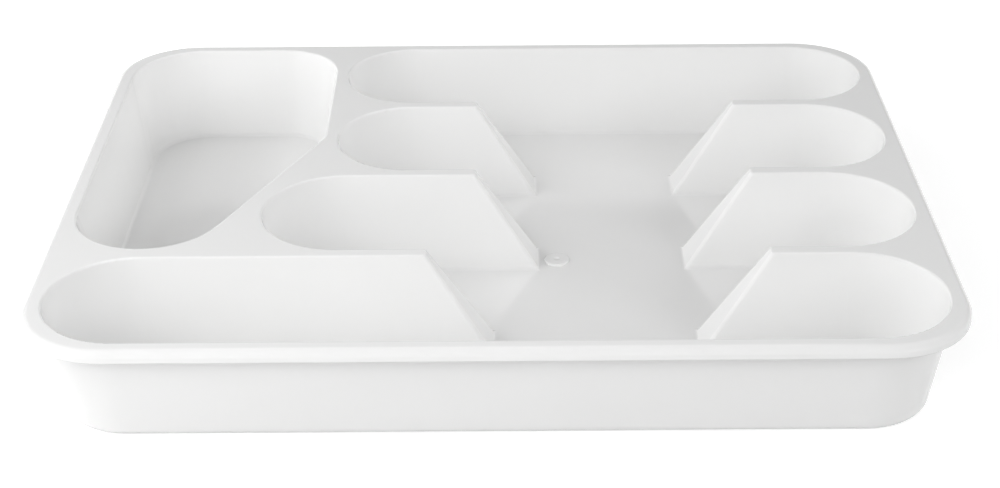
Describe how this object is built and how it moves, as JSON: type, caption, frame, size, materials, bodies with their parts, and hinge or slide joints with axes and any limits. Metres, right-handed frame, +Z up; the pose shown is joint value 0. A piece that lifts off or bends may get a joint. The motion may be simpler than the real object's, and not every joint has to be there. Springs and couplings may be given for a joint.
{
  "type": "cutlery tray",
  "caption": "Shallow rectangular cutlery tray with a hooked rim, round-ended slots that run into a central bowl, and a large bin in the back left corner.",
  "frame": {"origin": "middle of the flat underside that the tray rests on, below the middle of the rim", "axes": "+X along the long side to the right, +Y to the back, where the bin's straight end is, +Z up"},
  "size_m": [0.31, 0.251, 0.0383],
  "materials": {
    "tray_plastic": "gloss"
  },
  "bodies": {
    "root": {"back_left_divider": "tray_plastic", "back_right_divider": "tray_plastic", "back_slot_left_end": "tray_plastic", "back_slot_right_end": "tray_plastic", "back_wall": "tray_plastic", "bin_floor": "tray_plastic", "bin_wall": "tray_plastic", "front_left_divider": "tray_plastic", "front_right_divider": "tray_plastic", "front_slot_left_end": "tray_plastic", "front_slot_rear_wall": "tray_plastic", "front_slot_right_end": "tray_plastic", "front_wall": "tray_plastic", "gate_button": "tray_plastic", "lower_slot_left_end": "tray_plastic", "lower_slot_right_end": "tray_plastic", "middle_left_divider": "tray_plastic", "middle_right_divider": "tray_plastic", "rim_lip": "tray_plastic", "top_deck": "tray_plastic", "upper_slot_left_end": "tray_plastic", "upper_slot_right_end": "tray_plastic", "well_floor": "tray_plastic"}
  },
  "joints": []
}
